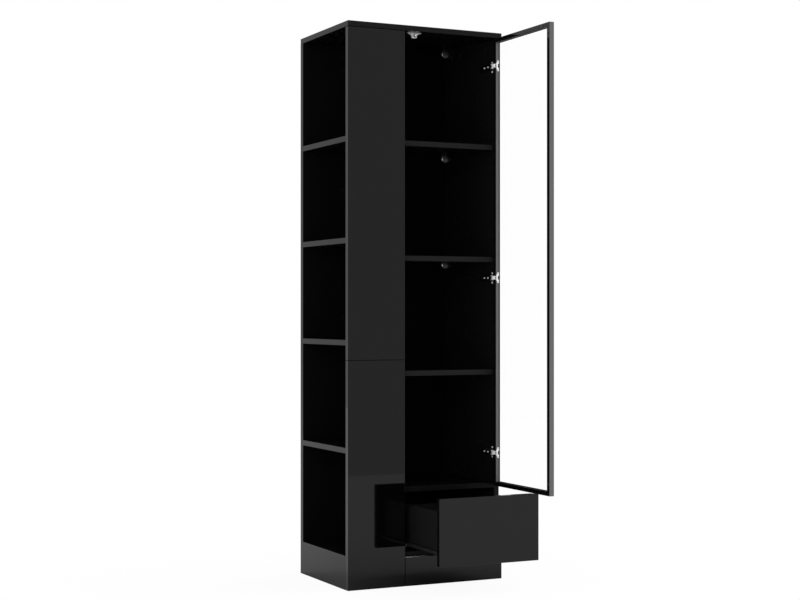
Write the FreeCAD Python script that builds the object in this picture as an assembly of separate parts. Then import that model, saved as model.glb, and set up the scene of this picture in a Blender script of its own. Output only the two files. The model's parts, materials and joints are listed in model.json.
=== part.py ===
"""Tall gloss-black bookcase with a framed glass door, a drawer and an open side column.

Units are millimetres. Inside this file X runs right and Y runs back from the front left
floor corner, and Z runs up. Every piece is moved to the row frame when it is written:
the origin is then on the floor, halfway along the cabinet, under its rear plinth rail.
The stored pose has the door a quarter turn open and the drawer pulled out.
"""
import FreeCAD
import Part

import os
from collections import namedtuple
from math import hypot

Vec = FreeCAD.Vector
X_AXIS = Vec(1, 0, 0)
Y_AXIS = Vec(0, 1, 0)
Z_AXIS = Vec(0, 0, 1)
Screw = namedtuple("Screw", "head_r head_h shank_r length")

# ---- whole cabinet -------------------------------------------------------------------
WIDTH = 586.0
DEPTH = 414.0
HEIGHT = 1900.0
BOARD = 18.0                  # thickness of every panel and shelf
REAR_ZONE = 22.0              # from the inner face of the back to the wall
FRONT_T = 18.0                # thickness of the door and of the drawer front
FRONT_GAP = 2.2               # air behind a closed front
SEAM = 2.0                    # gap between fronts side by side, and under the top
DRAWER_SEAM = 2.8             # gap between the door and the drawer front
DRAWER_SEAM_DROP = 11.6       # its middle, below the top of the deck
COLUMN_FRONT_W = 211.0        # width of the fixed front of the open side column
COLUMN_FRONT_SEAM_Z = 767.0   # where the fixed front is divided
COLUMN_FRONT_SEAM = 1.5
PLINTH_H = 97.0
PLINTH_SEAM = 1.5
BASE_TOP = 114.0              # top of the bottom boards
DECK_TOP = 334.5              # top of the board over the drawer
SIDE_SHELF_TOPS = (474.5, 835.0, 1176.5, 1516.5)
CABINET_SHELF_TOPS = (728.5, 1121.0, 1513.0)
CABINET_SHELF_SETBACK = 9.0
CABINET_SHELF_REAR_GAP = 1.0
EDGE_EASE = 1.0               # rounding of the lacquered edges
BACK_SHEET_T = 3.0
BACK_SHEET_GROOVE = 6.0       # depth of the grooves that hold the back sheet
CABLE_NOTCH_R = 13.0
RAIL_SETBACK = 1.0            # rear rails, in front of the wall
TOP_RAIL_H = 80.0
TOP_RAIL_DROP = 22.0

# ---- door ----------------------------------------------------------------------------
DOOR_STILE_W = 16.5
DOOR_RAIL_H = 14.5
GLASS_T = 4.0
GLASS_FRONT = 2.0             # glass behind the face of the door
GLASS_BITE = 6.0              # depth of the groove round the glass
SEAL_T = 0.4
SEAL_LIP = 1.2
FRAME_DOWEL_R = 2.5
FRAME_DOWEL_BITE = 12.0
FRAME_DOWEL_INSET = 6.0       # axis, from the inner face of the door
BUMPER_R = 3.5
BUMPER_INSET = 4.0
BUMPER_GAP = 0.3              # between a bumper and the carcass, door closed
DOOR_BUMPER_INSET = 40.0

# ---- hinges --------------------------------------------------------------------------
HINGE_BOTTOM_INSET = 115.5    # lowest hinge, above the bottom of the door
HINGE_MIDDLE_Z = 1047.9
HINGE_TOP_INSET = 95.4
DOOR_REST_ANGLE = 90.0
HINGE_INSET = 9.0             # axis of the door, from the side of the cabinet
HINGE_Y = 0.4                 # and from the face of the closed door
WING_T = 2.0                  # mounting plate's wings
WING_W = 12.0
WING_HALF = 21.0
WING_ROUND = 4.0
WING_SETBACK = 5.0            # from the front edge of the side panel
WING_SCREW_Z = 16.0
PLATE_T = 6.0
PLATE_L = 52.0
PLATE_SETBACK = 8.0
ARM_RISE = 16.0               # top of the arm over the side panel
ARM_HALF = 7.5
ARM_WALL = 1.4
ARM_NOSE = 12.6               # nose of the arm, in front of the side panel
ARM_SHOULDER = 4.2            # web of the arm, in front of the side panel
ARM_TAIL = 72.0               # end of the arm, behind the panel's front edge
NOSE_RISE = 1.5
LAYER_GAP = 0.6               # between arm, link and knuckle, one inside the other
LINK_GAP = 0.6                # between the link and what turns inside it
LINK_DEPTH = 6.9
LINK_WALL = 1.5
LINK_SHARE = 0.525            # part of the door's turn that the links make
LINK_START = 116.0            # ends of a link round the axis, door closed
LINK_END = 160.0
CUP_T = 2.0                   # flange on the glass side of the hinge stile
CUP_W = 9.6
CUP_HALF = 18.5
CUP_SHOULDER = 7.5            # half height where the flange has its full width
CUP_EAR_W = 5.4               # width of the flange at its ends
CUP_ROUND = 2.4
CUP_WELL_R = 7.6              # half-round opening in the long edge of the flange
CUP_WELL_W = 6.4
CUP_MARGIN = 1.5
CUP_SCREW_Z = 13.0
CUP_SCREW_Y = 10.4            # from the face of the door
KNUCKLE_W = 5.0
KNUCKLE_L = 4.0               # out of the flange, into the link
KNUCKLE_LEAD = 1.6            # past the flange, towards the arm
KNUCKLE_ROUND = 1.2
ADJUSTERS = (17.0, 42.0)      # screws of the arm, behind the panel's front edge
ADJUSTER_PROUD = 1.2

# ---- push latch under the top --------------------------------------------------------
LATCH_INSET = 48.0            # from the free edge of the door
LATCH_AXIS_DROP = 10.5
LATCH_SETBACK = 4.5
LATCH_W = 15.5
LATCH_L = 15.0
LATCH_H = 17.5
LATCH_ROUND = 2.0
LATCH_PLATE_T = 2.0
LATCH_PLATE_W = 51.0
LATCH_PLATE_L = 12.0
LATCH_RIB_T = 1.6             # ribs from the plate's ends down to the housing
LATCH_RIB_H = 9.0
LATCH_RIB_INSET = 4.5
LATCH_SCREW_X = 18.5
LATCH_BORE_L = 13.0
PLUNGER_R = 4.0
PLUNGER_FIT = 0.1
PLUNGER_ROUND = 1.0
PLUNGER_GAP = 0.6             # between plunger and strike plate, door closed
PLUNGER_L = 14.5
STRIKE_T = 1.0
STRIKE_W = 20.0
STRIKE_H = 10.0

# ---- drawer --------------------------------------------------------------------------
DRAWER_REST_PULL = 251.0
DRAWER_REAR_SPACE = 24.0
DRAWER_SIDE_T = 12.0
DRAWER_SIDE_H = 139.8
DRAWER_BACK_T = 12.0
DRAWER_BACK_DROP = 10.0
DRAWER_BACK_INSET = 6.0
DRAWER_FLOOR_RISE = 7.8       # above the lower edge of the sides
DRAWER_FLOOR_T = 4.0
DRAWER_GROOVE = 6.0
DRAWER_FIXING_INSET = 30.0    # cams and screws, from the floor and the top of the sides
DRAWER_CAM_DEPTH = 9.0
DRAWER_BUMPER_INSET = 12.0

# ---- runners -------------------------------------------------------------------------
RUNNER_SPACE = 12.5           # between a drawer side and the cabinet
RUNNER_STEEL = 1.2
RUNNER_RISE = 8.0             # cabinet runner, above the bottom board
CABINET_RUNNER_H = 25.7
CABINET_RUNNER_W = 10.5
CABINET_RUNNER_SETBACK = 2.0
CABINET_RUNNER_REAR = 7.0
DRAWER_RUNNER_RISE = 9.0      # drawer runner, above the cabinet runner
DRAWER_RUNNER_H = 13.2
DRAWER_RUNNER_SETBACK = 2.0
DRAWER_RUNNER_FOOT = 10.0
DRAWER_RUNNER_LIP = 5.7
DRAWER_RUNNER_REACH = 10.0    # width of its upper flange
ROLLER_AXLE_R = 2.0
ROLLER_FIT = 0.05
ROLLER_ROUND = 0.8
ROLLING_GAP = 0.3
FRONT_ROLLER_R = 7.5
FRONT_ROLLER_W = 5.0
FRONT_ROLLER_X = 5.0          # from the cabinet's wall
FRONT_ROLLER_SETBACK = 14.0
REAR_ROLLER_R = 9.5
REAR_ROLLER_W = 6.0
REAR_ROLLER_X = 4.5
REAR_ROLLER_TAIL = 6.0        # behind the drawer sides
AXLE_TAIL = 10.0
RUNNER_SCREW_INSETS = (38.0, 178.0, 328.0)
RUNNER_SCREW_Z = 13.0
RUNNER_SCREW_PROUD = 0.5

# ---- joinery -------------------------------------------------------------------------
WOOD_SCREW = Screw(head_r=3.4, head_h=1.2, shank_r=1.75, length=12.0)
CUP_SCREW = Screw(head_r=3.0, head_h=1.2, shank_r=1.5, length=12.0)
ARM_SCREW = Screw(head_r=2.8, head_h=1.2, shank_r=2.0, length=12.2)
DRAWER_SCREW = Screw(head_r=4.0, head_h=2.0, shank_r=2.4, length=38.0)
DOWEL_R = 4.0
DOWEL_IN_PANEL = 8.5
DOWEL_IN_BOARD = 15.0
CAM_R = 7.5
CAM_FIT = 0.1
CAM_DEPTH = 12.0
CAM_SLOT_R = 2.5
CAM_SLOT_DEPTH = 1.5
CAM_INSET = 24.0
BAY_DOWEL_INSETS = (120.0, 52.0)        # from the front edge and from the back
COLUMN_DOWEL_INSETS = (80.0, 92.0)
TOP_DOWEL_INSETS = (100.0, 52.0)
BAY_CAM_INSETS = (60.0, 112.0)
COLUMN_CAM_INSETS = (40.0, 142.0)
REAR_CAM_INSET = 50.0                   # cams of the rear board, from the partition
REAR_CAM_HEIGHTS = (909.0, 1368.0)
REAR_CAM_DROPS = (89.0, 38.0)           # the upper two, below the top panel
PIN_R = 2.5
PIN_HALF = 8.0
PIN_COLLAR_R = 4.0
PIN_COLLAR_T = 1.0
PIN_INSETS = (50.0, 52.0)
BRACKET_LEG = 25.0
BRACKET_W = 16.0
BRACKET_STEEL = 1.5
BRACKET_SCREW = 15.0

# ---- places that follow from the sizes -----------------------------------------------
CARCASS_FRONT = FRONT_T + FRONT_GAP
TOP_UNDER = HEIGHT - BOARD
BACK_FACE = DEPTH - REAR_ZONE
RAILS_Y = (BACK_FACE + BACK_SHEET_T, DEPTH - RAIL_SETBACK)
INNER_DEPTH = (CARCASS_FRONT, BACK_FACE)
FULL_DEPTH = (CARCASS_FRONT, DEPTH)
FRONT_LEFT = COLUMN_FRONT_W + SEAM
SEAM_X = COLUMN_FRONT_W + SEAM / 2
PARTITION = (SEAM_X - BOARD / 2, SEAM_X + BOARD / 2)
SIDE = (WIDTH - BOARD, WIDTH)
COLUMN = (0.0, PARTITION[0])
COLUMN_MIDDLE = sum(COLUMN) / 2
BAY = (PARTITION[1], SIDE[0])           # inside the cabinet half, left to right
BAY_MIDDLE = sum(BAY) / 2
BASE = (BASE_TOP - BOARD, BASE_TOP)
DOOR_X = (FRONT_LEFT, WIDTH)
DOOR_Z = (DECK_TOP - DRAWER_SEAM_DROP + DRAWER_SEAM / 2, TOP_UNDER - SEAM)
DRAWER_FRONT_Z = (PLINTH_H + PLINTH_SEAM, DOOR_Z[0] - DRAWER_SEAM)
BUMPER_T = FRONT_GAP - BUMPER_GAP

HINGE_X = WIDTH - HINGE_INSET
HINGE_AXIS = Vec(HINGE_X, HINGE_Y, 0)
HINGE_HEIGHTS = (DOOR_Z[0] + HINGE_BOTTOM_INSET, HINGE_MIDDLE_Z, DOOR_Z[1] - HINGE_TOP_INSET)
STILE_FACE = WIDTH - DOOR_STILE_W       # glass side of the hinge stile, door closed
STILE_REACH = hypot(max(HINGE_INSET, HINGE_X - STILE_FACE), FRONT_T - HINGE_Y)
CUP_REACH = hypot(HINGE_X - STILE_FACE + CUP_T, FRONT_T - CUP_MARGIN - HINGE_Y)
LINK_R_IN = max(STILE_REACH, CUP_REACH) + LINK_GAP
LINK_R_OUT = LINK_R_IN + LINK_DEPTH
LINK_HALF = ARM_HALF - ARM_WALL - LAYER_GAP
KNUCKLE_HALF = LINK_HALF - LINK_WALL - LAYER_GAP

LATCH_X = FRONT_LEFT + LATCH_INSET
LATCH_AXIS_Z = TOP_UNDER - LATCH_AXIS_DROP
LATCH_Y = (CARCASS_FRONT + LATCH_SETBACK, CARCASS_FRONT + LATCH_SETBACK + LATCH_L)
PLUNGER_TIP_Y = FRONT_T + STRIKE_T + PLUNGER_GAP

DRAWER_LENGTH = BACK_FACE - DRAWER_REAR_SPACE - FRONT_T
DRAWER_REAR = FRONT_T + DRAWER_LENGTH
RUNNER_Z = BASE_TOP + RUNNER_RISE
DRAWER_RUNNER_Z = RUNNER_Z + DRAWER_RUNNER_RISE
FLANGE_Z = DRAWER_RUNNER_Z + DRAWER_RUNNER_H - RUNNER_STEEL    # underside that rolls
DRAWER_WEB_X = BAY[0] + RUNNER_SPACE - RUNNER_STEEL
FRONT_ROLLER_Y = CARCASS_FRONT + FRONT_ROLLER_SETBACK
FRONT_ROLLER_Z = FLANGE_Z - ROLLING_GAP - FRONT_ROLLER_R
REAR_ROLLER_Y = DRAWER_REAR + REAR_ROLLER_TAIL
REAR_ROLLER_Z = RUNNER_Z + RUNNER_STEEL + ROLLING_GAP + REAR_ROLLER_R
DRAWER_SIDE_X = (BAY[0] + RUNNER_SPACE, BAY[0] + RUNNER_SPACE + DRAWER_SIDE_T)
DRAWER_SIDE_Z = (DRAWER_RUNNER_Z + RUNNER_STEEL, DRAWER_RUNNER_Z + RUNNER_STEEL + DRAWER_SIDE_H)
DRAWER_INSIDE = (DRAWER_SIDE_X[1], 2 * BAY_MIDDLE - DRAWER_SIDE_X[1])
DRAWER_FLOOR_Z = (DRAWER_SIDE_Z[0] + DRAWER_FLOOR_RISE,
                  DRAWER_SIDE_Z[0] + DRAWER_FLOOR_RISE + DRAWER_FLOOR_T)
DRAWER_BACK_Y = (DRAWER_REAR - DRAWER_BACK_INSET - DRAWER_BACK_T, DRAWER_REAR - DRAWER_BACK_INSET)
DRAWER_FIXINGS_Z = (DRAWER_FLOOR_Z[1] + DRAWER_FIXING_INSET, DRAWER_SIDE_Z[1] - DRAWER_FIXING_INSET)

ORIGIN = Vec(WIDTH / 2, sum(RAILS_Y) / 2, 0)


# ---- shapes --------------------------------------------------------------------------
def block(x, y, z):
    """Box between three (low, high) pairs."""
    size = [high - low for low, high in (x, y, z)]
    return Part.makeBox(*size, Vec(x[0], y[0], z[0]))


def disc(centre, axis, radius, length):
    """Round bar that starts at centre and runs along axis."""
    return Part.makeCylinder(radius, length, Vec(*centre), axis)


def lies_on(edge, axis_name, value):
    """Whether both ends of an edge have this coordinate."""
    return all(abs(getattr(vertex.Point, axis_name) - value) < 1e-6 for vertex in edge.Vertexes)


def runs_along(edge, axis):
    return edge.tangentAt(edge.FirstParameter).cross(axis).Length < 1e-6


def eased(solid, radius=EDGE_EASE, keep=None):
    """Round the edges of a solid, or only those that keep() picks."""
    edges = [edge for edge in solid.Edges if keep is None or keep(edge)]
    return solid.makeFillet(radius, edges)


def front_eased(solid):
    """Round only the two long front edges of a board."""
    front = solid.BoundBox.YMin
    return eased(solid, EDGE_EASE / 2, lambda edge: lies_on(edge, "y", front) and edge.Length > 2 * BOARD)


def fused(first, *others):
    return first.multiFuse(list(others)).removeSplitter()


def screw(head_face, axis, size):
    """Screw whose head starts at head_face and whose shank runs along axis."""
    head = disc(head_face, axis, size.head_r, size.head_h)
    return fused(head, disc(head_face, axis, size.shank_r, size.length))


def cam(mouth, inward, depth):
    """Cam of a joint fitting, with the recess for its driver."""
    return disc(mouth, inward, CAM_R, depth).cut(disc(mouth, inward, CAM_SLOT_R, CAM_SLOT_DEPTH))


def mirrored(solid):
    """The matching piece on the other side of the cabinet half."""
    return solid.mirror(Vec(BAY_MIDDLE, 0, 0), X_AXIS)


def moved(solid, shift):
    copy = solid.copy()
    copy.translate(shift)
    return copy


def raised(solid, height):
    return moved(solid, Z_AXIS * height)


def opened(solid, angle=DOOR_REST_ANGLE):
    """Turn a piece of the closed door towards the stored pose."""
    turned = solid.copy()
    turned.rotate(HINGE_AXIS, Z_AXIS, angle)
    return turned


def pulled(solid):
    """Move a piece of the closed drawer to the stored pose."""
    return moved(solid, Y_AXIS * -DRAWER_REST_PULL)


def in_depth(insets):
    """Two places along Y, from the front edge and from the back of the boards."""
    return CARCASS_FRONT + insets[0], BACK_FACE - insets[1]


# ---- carcass -------------------------------------------------------------------------
def carcass_boards():
    """Every board and sheet that stands still, before it is drilled."""
    seam = COLUMN_FRONT_SEAM / 2
    column_front = (0, COLUMN_FRONT_W)
    front_y = (0, CARCASS_FRONT)
    boards = {
        "top_panel": eased(block((0, WIDTH), (0, DEPTH), (TOP_UNDER, HEIGHT))),
        "right_side_panel": front_eased(block(SIDE, FULL_DEPTH, (0, TOP_UNDER))),
        "partition_panel": front_eased(block(PARTITION, FULL_DEPTH, (0, TOP_UNDER))),
        "left_rear_board": block(COLUMN, (BACK_FACE, DEPTH), (BASE_TOP, TOP_UNDER)),
        "left_plinth_side": block((0, BOARD), FULL_DEPTH, (0, BASE_TOP)),
        "fixed_front_lower": eased(block(column_front, front_y, (0, COLUMN_FRONT_SEAM_Z - seam))),
        "fixed_front_upper": eased(block(column_front, front_y, (COLUMN_FRONT_SEAM_Z + seam, DOOR_Z[1]))),
        "plinth_front": eased(block(DOOR_X, front_y, (0, PLINTH_H))),
        "left_bottom_board": block((BOARD, COLUMN[1]), FULL_DEPTH, BASE),
        "right_bottom_board": front_eased(block(BAY, INNER_DEPTH, BASE)),
        "drawer_deck": front_eased(block(BAY, INNER_DEPTH, (DECK_TOP - BOARD, DECK_TOP))),
        "plinth_rear_left": block((BOARD, COLUMN[1]), RAILS_Y, (0, BASE[0])),
        "plinth_rear_right": block(BAY, RAILS_Y, (0, BASE[0])),
    }
    rail_top = TOP_UNDER - TOP_RAIL_DROP
    boards["rear_top_rail"] = block(BAY, RAILS_Y, (rail_top - TOP_RAIL_H, rail_top))
    for number, top in enumerate(SIDE_SHELF_TOPS, start=1):
        boards[f"side_shelf_{number}"] = block(COLUMN, INNER_DEPTH, (top - BOARD, top))
    shelf_x = (BAY[0] + PIN_COLLAR_T, BAY[1] - PIN_COLLAR_T)
    shelf_y = (CARCASS_FRONT + CABINET_SHELF_SETBACK, BACK_FACE - CABINET_SHELF_REAR_GAP)
    for number, top in enumerate(CABINET_SHELF_TOPS, start=1):
        boards[f"cabinet_shelf_{number}"] = front_eased(block(shelf_x, shelf_y, (top - BOARD, top)))
    return boards


def add_back_sheet(boards):
    """Thin back of the cabinet half, let into its two uprights, with cable notches."""
    x = (BAY[0] - BACK_SHEET_GROOVE, BAY[1] + BACK_SHEET_GROOVE)
    y = (BACK_FACE, RAILS_Y[0])
    sheet = block(x, y, (BASE[0] - BACK_SHEET_GROOVE, TOP_UNDER))
    for node in ("partition_panel", "right_side_panel"):
        boards[node] = boards[node].cut(sheet)
    undersides = [top - BOARD for top in CABINET_SHELF_TOPS] + [TOP_UNDER]
    for under in undersides:
        corner = block((BAY[1] - CABLE_NOTCH_R, x[1]), y, (under - CABLE_NOTCH_R, under))
        sweep = disc((BAY[1], y[0], under), Y_AXIS, CABLE_NOTCH_R, BACK_SHEET_T)
        sheet = sheet.cut(corner.common(sweep))
    boards["right_back_sheet"] = sheet


def dowel_joints():
    """Each dowel as its board, its panel, a point on their joint and the way to the panel."""
    half = BOARD / 2
    rail_y = sum(RAILS_Y) / 2
    column_boards = [("left_bottom_board", BASE_TOP - half)]
    for number, top in enumerate(SIDE_SHELF_TOPS, start=1):
        column_boards.append((f"side_shelf_{number}", top - half))
        yield f"side_shelf_{number}", "left_rear_board", (COLUMN_MIDDLE, BACK_FACE, top - half), Y_AXIS
    for y in in_depth(COLUMN_DOWEL_INSETS):
        for node, z in column_boards:
            yield node, "partition_panel", (COLUMN[1], y, z), X_AXIS
        yield "left_bottom_board", "left_plinth_side", (BOARD, y, BASE_TOP - half), -X_AXIS
    for y in in_depth(BAY_DOWEL_INSETS):
        for node, z in (("right_bottom_board", BASE_TOP - half), ("drawer_deck", DECK_TOP - half)):
            yield node, "partition_panel", (BAY[0], y, z), -X_AXIS
            yield node, "right_side_panel", (BAY[1], y, z), X_AXIS
    for y in in_depth(TOP_DOWEL_INSETS):
        yield "partition_panel", "top_panel", (SEAM_X, y, TOP_UNDER), Z_AXIS
        yield "right_side_panel", "top_panel", (WIDTH - half, y, TOP_UNDER), Z_AXIS
    yield "left_rear_board", "top_panel", (COLUMN_MIDDLE, DEPTH - REAR_ZONE / 2, TOP_UNDER), Z_AXIS
    top_rail_z = TOP_UNDER - TOP_RAIL_DROP - TOP_RAIL_H / 2
    for node, z in (("plinth_rear_right", BASE[0] / 2), ("rear_top_rail", top_rail_z)):
        yield node, "partition_panel", (BAY[0], rail_y, z), -X_AXIS
        yield node, "right_side_panel", (BAY[1], rail_y, z), X_AXIS
    yield "plinth_rear_left", "partition_panel", (COLUMN[1], rail_y, BASE[0] / 2), X_AXIS
    yield "plinth_rear_left", "left_plinth_side", (BOARD, rail_y, BASE[0] / 2), -X_AXIS


def add_dowels(boards):
    """Glued dowels; both boards of each joint are drilled for them."""
    dowels = []
    for board, panel, joint, towards_panel in dowel_joints():
        start = Vec(*joint) - towards_panel * DOWEL_IN_BOARD
        dowel = disc(start, towards_panel, DOWEL_R, DOWEL_IN_BOARD + DOWEL_IN_PANEL)
        boards[board] = boards[board].cut(dowel)
        boards[panel] = boards[panel].cut(dowel)
        dowels.append(dowel)
    return dowels


def cam_spots():
    """Each cam as its board, the mouth of its bore and the way in."""
    column_boards = [("left_bottom_board", BASE[0])]
    for number, top in enumerate(SIDE_SHELF_TOPS, start=1):
        column_boards.append((f"side_shelf_{number}", top - BOARD))
    for y in in_depth(COLUMN_CAM_INSETS):
        for node, under in column_boards:
            yield node, (COLUMN[1] - CAM_INSET, y, under), Z_AXIS
    cam_z = TOP_UNDER - CAM_INSET
    for y in in_depth(BAY_CAM_INSETS):
        for x in (BAY[0] + CAM_INSET, BAY[1] - CAM_INSET):
            yield "right_bottom_board", (x, y, BASE[0]), Z_AXIS
            yield "drawer_deck", (x, y, DECK_TOP - BOARD), Z_AXIS
        yield "partition_panel", (BAY[0], y, cam_z), -X_AXIS
        yield "right_side_panel", (BAY[1], y, cam_z), X_AXIS
    for z in REAR_CAM_HEIGHTS + tuple(TOP_UNDER - drop for drop in REAR_CAM_DROPS):
        yield "left_rear_board", (COLUMN[1] - REAR_CAM_INSET, BACK_FACE, z), Y_AXIS


def add_cams(boards):
    """Cam locks let into the hidden faces next to the joints."""
    cams = []
    for node, mouth, inward in cam_spots():
        boards[node] = boards[node].cut(disc(mouth, inward, CAM_R + CAM_FIT, CAM_DEPTH))
        cams.append(cam(mouth, inward, CAM_DEPTH))
    return cams


def add_shelf_pins(boards):
    """Collared pins that carry the loose shelves."""
    walls = (("partition_panel", BAY[0], X_AXIS), ("right_side_panel", BAY[1], -X_AXIS))
    pins = []
    for top in CABINET_SHELF_TOPS:
        for y in in_depth(PIN_INSETS):
            for node, x, inward in walls:
                seat = Vec(x, y, top - BOARD - PIN_R)
                pin = disc(seat - inward * PIN_HALF, inward, PIN_R, 2 * PIN_HALF)
                boards[node] = boards[node].cut(pin)
                pins.append(fused(pin, disc(seat, inward, PIN_COLLAR_R, PIN_COLLAR_T)))
    return pins


def add_front_brackets(boards, screws):
    """Angle brackets that hold the fixed fronts and the plinth to the boards behind them."""
    seats = [("fixed_front_upper", "top_panel", COLUMN_MIDDLE, TOP_UNDER),
             ("plinth_front", "right_bottom_board", BAY_MIDDLE, BASE[0])]
    for number, top in enumerate(SIDE_SHELF_TOPS, start=1):
        front = "fixed_front_lower" if top < COLUMN_FRONT_SEAM_Z else "fixed_front_upper"
        seats.append((front, f"side_shelf_{number}", COLUMN_MIDDLE, top - BOARD))
    brackets = []
    leg_y = (CARCASS_FRONT, CARCASS_FRONT + BRACKET_LEG)
    steel_y = (CARCASS_FRONT, CARCASS_FRONT + BRACKET_STEEL)
    for front, board, middle, under in seats:
        x = (middle - BRACKET_W / 2, middle + BRACKET_W / 2)
        flat = block(x, leg_y, (under - BRACKET_STEEL, under))
        upright = block(x, steel_y, (under - BRACKET_LEG, under))
        up = screw((middle, leg_y[0] + BRACKET_SCREW, under - BRACKET_STEEL), Z_AXIS, WOOD_SCREW)
        forward = screw((middle, steel_y[1], under - BRACKET_SCREW), -Y_AXIS, WOOD_SCREW)
        boards[board] = boards[board].cut(up)
        boards[front] = boards[front].cut(forward)
        brackets.append(fused(flat, upright).cut(up).cut(forward))
        screws.extend([up, forward])
    return brackets


# ---- hinges, drawn about height zero -------------------------------------------------
def round_axis(radius, half_height):
    """Cylinder round the door's axis."""
    return disc((HINGE_X, HINGE_Y, -half_height), Z_AXIS, radius, 2 * half_height)


def hinge_plate():
    """Cross-shaped plate on the side panel."""
    wing_y = CARCASS_FRONT + WING_SETBACK
    wings = block((BAY[1] - WING_T, BAY[1]), (wing_y, wing_y + WING_W), (-WING_HALF, WING_HALF))
    wings = eased(wings, WING_ROUND, lambda edge: runs_along(edge, X_AXIS))
    base_y = CARCASS_FRONT + PLATE_SETBACK
    base = block((BAY[1] - PLATE_T, BAY[1]), (base_y, base_y + PLATE_L), (-ARM_HALF, ARM_HALF))
    return fused(wings, base)


def hinge_arm():
    """Channel over the plate, whose cheeks reach round the edge of the open door."""
    face = BAY[1] - ARM_RISE
    tail = CARCASS_FRONT + ARM_TAIL
    web = block((face, face + ARM_WALL), (CARCASS_FRONT - ARM_SHOULDER, tail), (-ARM_HALF, ARM_HALF))
    web = web.cut(round_axis(LINK_R_OUT + LINK_GAP, ARM_HALF - ARM_WALL))
    cheeks = []
    for z in ((-ARM_HALF, ARM_WALL - ARM_HALF), (ARM_HALF - ARM_WALL, ARM_HALF)):
        long_part = block((face, BAY[1] - PLATE_T), (CARCASS_FRONT - ARM_SHOULDER, tail), z)
        nose = block((face - NOSE_RISE, BAY[1] - PLATE_T), (CARCASS_FRONT - ARM_NOSE,
                     CARCASS_FRONT + PLATE_SETBACK), z)
        cheeks.append(long_part.fuse(nose).cut(round_axis(LINK_R_IN, ARM_HALF)))
    return fused(web, *cheeks)


def hinge_adjusters():
    """The two screws that clamp the arm to its plate."""
    face = BAY[1] - ARM_RISE - ADJUSTER_PROUD
    return [screw((face, CARCASS_FRONT + inset, 0), X_AXIS, ARM_SCREW) for inset in ADJUSTERS]


def hinge_link():
    """Curved channel between arm and cup, open towards the axis, door closed."""
    lip = LINK_HALF - LINK_WALL
    web_r = LINK_R_OUT - LINK_WALL
    corners = [(LINK_R_IN, -LINK_HALF), (LINK_R_OUT, -LINK_HALF), (LINK_R_OUT, LINK_HALF),
               (LINK_R_IN, LINK_HALF), (LINK_R_IN, lip), (web_r, lip), (web_r, -lip), (LINK_R_IN, -lip)]
    points = [HINGE_AXIS + Vec(radius, 0, z) for radius, z in corners]
    section = Part.Face(Part.makePolygon(points + points[:1]))
    section.rotate(HINGE_AXIS, Z_AXIS, LINK_START)
    return section.revolve(HINGE_AXIS, Z_AXIS, LINK_END - LINK_START)


def hinge_cup():
    """Flange with two ears on the glass side of the hinge stile, and the knuckle in the link."""
    y = (FRONT_T - CUP_MARGIN - CUP_W, FRONT_T - CUP_MARGIN)
    ear = y[0] + CUP_EAR_W
    corners = [(y[0], -CUP_HALF), (ear, -CUP_HALF), (y[1], -CUP_SHOULDER),
               (y[1], CUP_SHOULDER), (ear, CUP_HALF), (y[0], CUP_HALF)]
    points = [Vec(STILE_FACE - CUP_T, *corner) for corner in corners]
    plate = Part.Face(Part.makePolygon(points + points[:1])).extrude(X_AXIS * CUP_T)
    plate = eased(plate, CUP_ROUND, lambda edge: runs_along(edge, X_AXIS))
    well_middle = y[0] + CUP_WELL_W - CUP_WELL_R
    plate = plate.cut(disc((STILE_FACE - CUP_T, well_middle, 0), X_AXIS, CUP_WELL_R, CUP_T))
    tip = STILE_FACE - CUP_T - KNUCKLE_L
    lead = y[1] + KNUCKLE_LEAD
    knuckle = block((tip, STILE_FACE - CUP_T), (lead - KNUCKLE_W, lead), (-KNUCKLE_HALF, KNUCKLE_HALF))
    return fused(plate, eased(knuckle, KNUCKLE_ROUND, lambda edge: lies_on(edge, "x", tip)))


def add_hinges(boards, screws):
    """The pieces of the hinges that are fixed to the side panel."""
    fittings = {"hinge_plates": [], "hinge_arms": [], "hinge_adjusters": []}
    wing_middle = CARCASS_FRONT + WING_SETBACK + WING_W / 2
    for height in HINGE_HEIGHTS:
        plate = hinge_plate()
        arm = hinge_arm()
        for adjuster in hinge_adjusters():
            plate = plate.cut(adjuster)
            arm = arm.cut(adjuster)
            fittings["hinge_adjusters"].append(raised(adjuster, height))
        for z in (-WING_SCREW_Z, WING_SCREW_Z):
            fixing = screw((BAY[1] - WING_T, wing_middle, z), X_AXIS, WOOD_SCREW)
            plate = plate.cut(fixing)
            fixing = raised(fixing, height)
            boards["right_side_panel"] = boards["right_side_panel"].cut(fixing)
            screws.append(fixing)
        fittings["hinge_plates"].append(raised(plate, height))
        fittings["hinge_arms"].append(raised(arm, height))
    return fittings


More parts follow.
